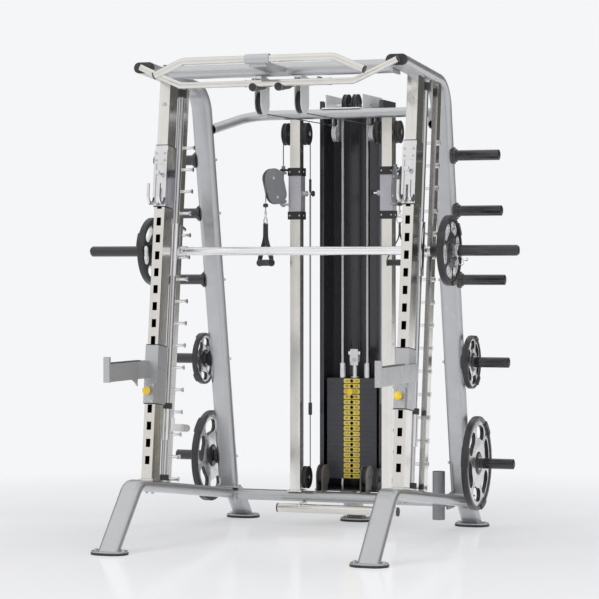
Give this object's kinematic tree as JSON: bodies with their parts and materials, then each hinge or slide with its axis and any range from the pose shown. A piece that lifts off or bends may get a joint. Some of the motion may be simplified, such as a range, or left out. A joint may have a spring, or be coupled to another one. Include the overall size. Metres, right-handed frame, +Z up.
{
  "type": "smith machine",
  "caption": "Smith machine with leaning guide rods and lock pegs, rack uprights with spotter arms and hooks, plate storage, twin cable columns and a weight stack.",
  "frame": {"origin": "on the floor, on the centre plane, between the front and rear feet", "axes": "+X to the user's right, +Y to the back (the weight stack), +Z up"},
  "size_m": [2.035, 1.761, 2.1355],
  "materials": {
    "frame_paint": "silver metallic powder coat, satin",
    "nickel": "bright nickel plate",
    "chrome": "polished chrome",
    "black_metal": "gloss black enamel",
    "rubber": "black rubber",
    "plate_iron": "black hammertone with machined edges",
    "shroud": "charcoal gloss",
    "stack_iron": "dark grey satin",
    "grey_cover": "grey satin",
    "pale_cover": "light silver satin",
    "pulley_nylon": "black nylon",
    "cable": "black nylon jacket over steel cable",
    "handle_black": "black grip and webbing",
    "yellow_knob": "yellow plastic"
  },
  "bodies": {
    "frame": {"base_rails": "frame_paint", "foot_pads": "rubber", "rear_uprights": "frame_paint", "front_uprights": "nickel", "peg_posts": "nickel", "lock_pegs": "chrome", "guide_rods": "chrome", "rubber_bumpers": "rubber", "base_crossmember": "frame_paint", "top_crossmember": "frame_paint", "rear_arch_tube": "frame_paint", "wide_pull_up_bar": "chrome", "front_pull_up_bar": "chrome", "close_grip_handles": "chrome", "tube_end_caps": "rubber", "storage_horns": "black_metal", "storage_plates": "plate_iron", "pulley_columns": "nickel", "pulley_axles": "chrome", "pulley_housings": "pale_cover", "stack_shroud": "shroud", "stack_guide_rods": "chrome", "stack_plates": "stack_iron", "top_pulley_bracket": "pale_cover", "foot_bar": "chrome", "bar_holder": "frame_paint", "frame_bolts": "chrome", "cables": "cable", "stack_cable": "cable"},
    "press_carriage": {"bar_carriages": "chrome"},
    "press_bar": {"smith_bar": "chrome", "bar_sleeves": "black_metal", "bar_hooks": "chrome", "bar_plates": "plate_iron"},
    "cushion_left": {"stop_cushion_left": "rubber"},
    "cushion_right": {"stop_cushion_right": "rubber"},
    "stop_left": {"safety_stop_left": "chrome"},
    "stop_right": {"safety_stop_right": "chrome"},
    "arm_left": {"spotter_arm_left": "frame_paint"},
    "arm_right": {"spotter_arm_right": "frame_paint"},
    "latch_left": {"arm_pin_left": "yellow_knob"},
    "latch_right": {"arm_pin_right": "yellow_knob"},
    "hook_left": {"rack_hook_left": "chrome"},
    "hook_right": {"rack_hook_right": "chrome"},
    "cable_trolley_left": {"trolley_left": "grey_cover"},
    "cable_trolley_right": {"trolley_right": "grey_cover"},
    "trolley_latch_left": {"trolley_pin_left": "pulley_nylon"},
    "trolley_latch_right": {"trolley_pin_right": "pulley_nylon"},
    "head_left": {"swivel_head_left": "grey_cover"},
    "head_right": {"swivel_head_right": "grey_cover"},
    "cable_handle_left": {"handle_left": "handle_black"},
    "cable_handle_right": {"handle_right": "handle_black"},
    "lifted_stack": {"lifted_plates": "stack_iron", "selector_stem": "chrome"},
    "stack_selector": {"selector_pin": "yellow_knob"},
    "overhead_wheels": {"overhead_pulleys": "pulley_nylon"},
    "lat_wheels": {"lat_pulleys": "pulley_nylon"},
    "column_top_wheels": {"column_top_pulleys": "pulley_nylon"},
    "column_base_wheels": {"column_base_pulleys": "pulley_nylon"},
    "low_wheels": {"low_pulleys": "pulley_nylon"}
  },
  "joints": [
    {"name": "bar_travel", "type": "slide", "parent": "frame", "child": "press_carriage", "axis": [0, 0.1219, 0.9925], "range_m": [-0.508, 0.508]},
    {"name": "bar_roll", "type": "hinge", "parent": "press_carriage", "child": "press_bar", "pos_m": [0, -0.06218, 1.29876], "axis": [1, 0, 0], "range_deg": [-31, 1.5]},
    {"name": "stop_height_left", "type": "slide", "parent": "frame", "child": "cushion_left", "axis": [0, 0.1219, 0.9925], "range_m": [-0.1016, 0.2032]},
    {"name": "stop_swivel_left", "type": "hinge", "parent": "cushion_left", "child": "stop_left", "pos_m": [-0.5825, -0.2045, 0.51708], "axis": [0, 0.1219, 0.9925], "range_deg": [-12, 40]},
    {"name": "stop_height_right", "type": "slide", "parent": "frame", "child": "cushion_right", "axis": [0, 0.1219, 0.9925], "range_m": [-0.1016, 0.2032]},
    {"name": "stop_swivel_right", "type": "hinge", "parent": "cushion_right", "child": "stop_right", "pos_m": [0.5825, -0.2045, 0.51708], "axis": [0, 0.1219, 0.9925], "range_deg": [-40, 12]},
    {"name": "spotter_arm_height_left", "type": "slide", "parent": "frame", "child": "arm_left", "axis": [0, 0.1219, 0.9925], "range_m": [-0.2286, 0.6096]},
    {"name": "arm_latch_left", "type": "slide", "parent": "arm_left", "child": "latch_left", "axis": [0, 0.9925, -0.1219], "range_m": [0, 0.014]},
    {"name": "rack_hook_height_left", "type": "slide", "parent": "frame", "child": "hook_left", "axis": [0, 0.1219, 0.9925], "range_m": [-0.3048, 0.0762]},
    {"name": "trolley_height_left", "type": "slide", "parent": "frame", "child": "cable_trolley_left", "axis": [0, 0, 1], "range_m": [-1.016, 0.1016]},
    {"name": "trolley_latch_left", "type": "slide", "parent": "cable_trolley_left", "child": "trolley_latch_left", "axis": [-1, 0, 0], "range_m": [0, 0.014]},
    {"name": "head_swivel_left", "type": "hinge", "parent": "cable_trolley_left", "child": "head_left", "pos_m": [-0.279, 0.505, 1.611], "axis": [0, 0, 1], "range_deg": [-90, 90]},
    {"name": "handle_swing_left", "type": "hinge", "parent": "head_left", "child": "cable_handle_left", "pos_m": [-0.34476, 0.43924, 1.52], "axis": [-0.7071, 0.7071, 0], "range_deg": [-8, 15]},
    {"name": "spotter_arm_height_right", "type": "slide", "parent": "frame", "child": "arm_right", "axis": [0, 0.1219, 0.9925], "range_m": [-0.2286, 0.6096]},
    {"name": "arm_latch_right", "type": "slide", "parent": "arm_right", "child": "latch_right", "axis": [0, 0.9925, -0.1219], "range_m": [0, 0.014]},
    {"name": "rack_hook_height_right", "type": "slide", "parent": "frame", "child": "hook_right", "axis": [0, 0.1219, 0.9925], "range_m": [-0.3048, 0.0762]},
    {"name": "trolley_height_right", "type": "slide", "parent": "frame", "child": "cable_trolley_right", "axis": [0, 0, 1], "range_m": [-1.016, 0.1016]},
    {"name": "trolley_latch_right", "type": "slide", "parent": "cable_trolley_right", "child": "trolley_latch_right", "axis": [1, 0, 0], "range_m": [0, 0.014]},
    {"name": "head_swivel_right", "type": "hinge", "parent": "cable_trolley_right", "child": "head_right", "pos_m": [0.279, 0.505, 1.611], "axis": [0, 0, 1], "range_deg": [-75, 105]},
    {"name": "handle_swing_right", "type": "hinge", "parent": "head_right", "child": "cable_handle_right", "pos_m": [0.3255, 0.42446, 1.52], "axis": [0.866, 0.5, 0], "range_deg": [-15, 8]},
    {"name": "stack_lift", "type": "slide", "parent": "frame", "child": "lifted_stack", "axis": [0, 0, 1], "range_m": [0, 1], "deforming": ["stack_cable"]},
    {"name": "selector_pull", "type": "slide", "parent": "lifted_stack", "child": "stack_selector", "axis": [0, -1, 0], "range_m": [0, 0.09]},
    {"name": "overhead_spin", "type": "hinge", "parent": "frame", "child": "overhead_wheels", "pos_m": [0, 0.698, 2.003], "axis": [1, 0, 0], "continuous": true},
    {"name": "lat_spin", "type": "hinge", "parent": "frame", "child": "lat_wheels", "pos_m": [0, -0.27, 1.949], "axis": [1, 0, 0], "continuous": true},
    {"name": "column_top_spin", "type": "hinge", "parent": "frame", "child": "column_top_wheels", "pos_m": [0, 0.555, 1.862], "axis": [1, 0, 0], "continuous": true},
    {"name": "column_base_spin", "type": "hinge", "parent": "frame", "child": "column_base_wheels", "pos_m": [0, 0.555, 0.225], "axis": [1, 0, 0], "continuous": true},
    {"name": "low_spin", "type": "hinge", "parent": "frame", "child": "low_wheels", "pos_m": [0, 0.59, 0.232], "axis": [1, 0, 0], "continuous": true}
  ]
}
